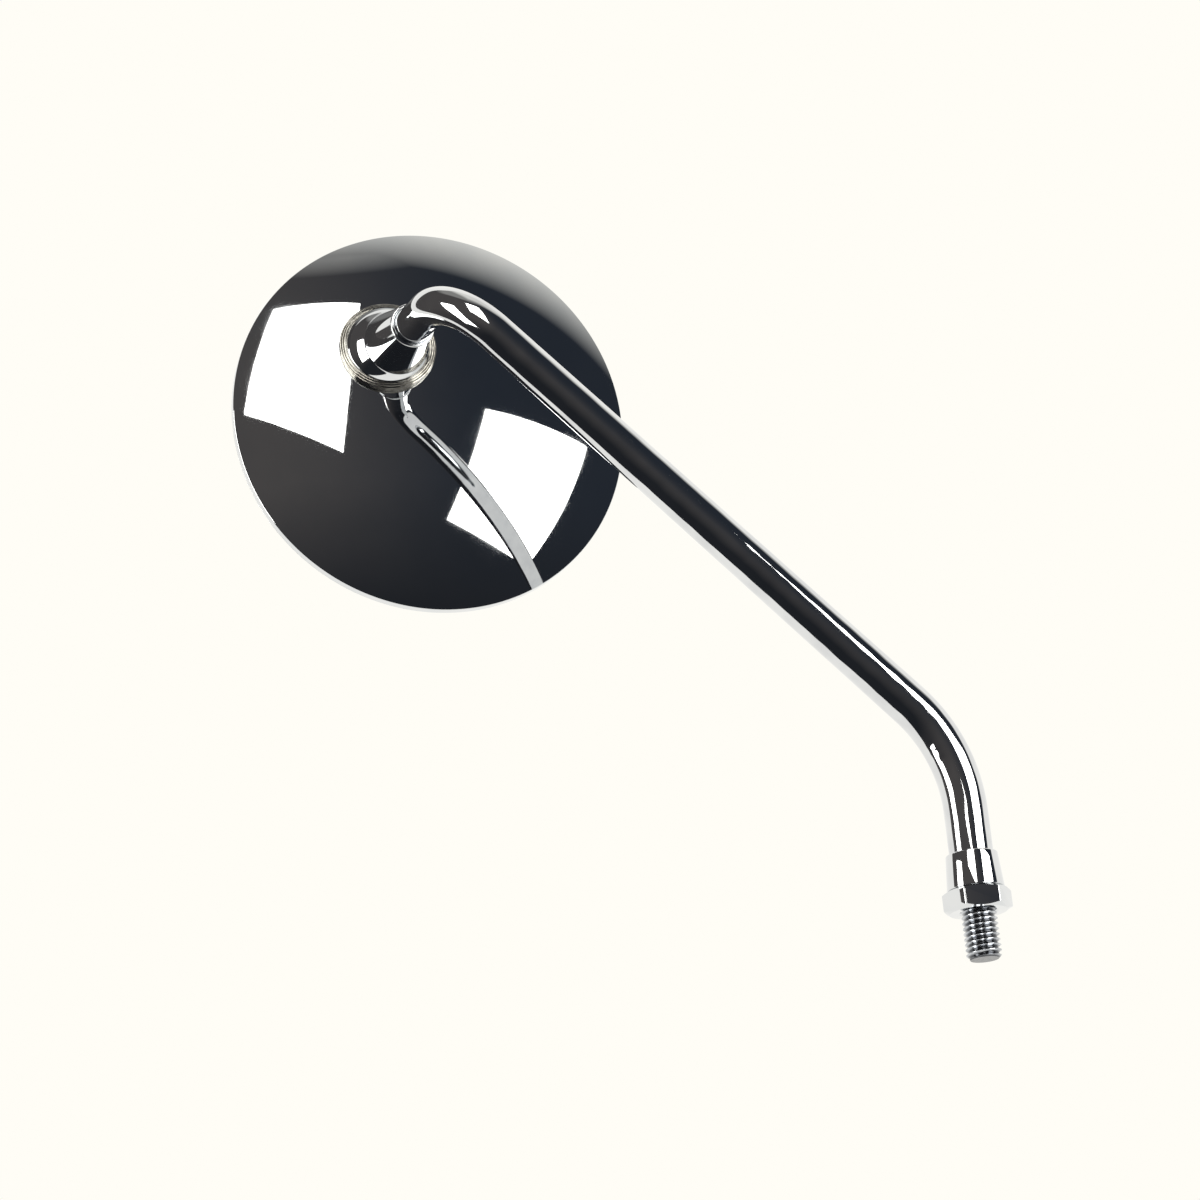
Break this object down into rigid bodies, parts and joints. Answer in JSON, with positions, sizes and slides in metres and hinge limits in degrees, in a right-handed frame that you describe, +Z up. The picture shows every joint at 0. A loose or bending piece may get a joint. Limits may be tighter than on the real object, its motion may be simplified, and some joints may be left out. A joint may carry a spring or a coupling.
{
  "type": "motorcycle mirror",
  "caption": "Round chrome handlebar mirror with a shallow bowl, a ball swivel and a bent stem ending in a threaded stud with a lock nut.",
  "frame": {"origin": "On the stud's axis at the top of its free thread, 0.1 mm under the lock nut's seat.", "axes": "+Z points up along the stud, +Y is the way the glass faces, and +X points away from the side that the stem leans to."},
  "size_m": [0.1933, 0.0795, 0.2419],
  "materials": {
    "chrome": "polished chrome plate on steel",
    "zinc_steel": "bright zinc plated steel",
    "spring_steel": "oiled spring steel",
    "silvered_glass": "silvered glass",
    "black_rubber": "black rubber",
    "nylon": "natural nylon",
    "brass": "turned brass"
  },
  "bodies": {
    "stem": {"stem_tube": "chrome", "threaded_stud": "zinc_steel", "stem_collar": "chrome", "swivel_ball": "chrome"},
    "lock_nut": {"lock_nut": "chrome"},
    "inner_seat": {"inner_seat": "nylon"},
    "pressure_button": {"pressure_button": "brass"},
    "head": {"bowl": "chrome", "rim_bezel": "chrome", "mirror_glass": "silvered_glass", "glass_gasket": "black_rubber", "socket_ring": "chrome", "friction_spring": "spring_steel", "clamp_pan": "zinc_steel", "weld_studs": "zinc_steel", "pan_washers": "spring_steel", "pan_nuts": "zinc_steel"}
  },
  "joints": [
    {"name": "nut_turn", "type": "hinge", "parent": "stem", "child": "lock_nut", "pos_m": [0, 0, 0.003], "axis": [0, 0, 1], "continuous": true},
    {"name": "head_tilt", "type": "hinge", "parent": "stem", "child": "inner_seat", "pos_m": [-0.13901, 0.0568, 0.18691], "axis": [1, 0, 0], "range_deg": [-4, 28]},
    {"name": "head_pan", "type": "hinge", "parent": "inner_seat", "child": "pressure_button", "pos_m": [-0.13901, 0.0568, 0.18691], "axis": [0, 0, 1], "range_deg": [-5, 26]},
    {"name": "head_spin", "type": "hinge", "parent": "pressure_button", "child": "head", "pos_m": [-0.13901, 0.0568, 0.18691], "axis": [-0.1152, -0.9836, 0.1386], "continuous": true}
  ]
}
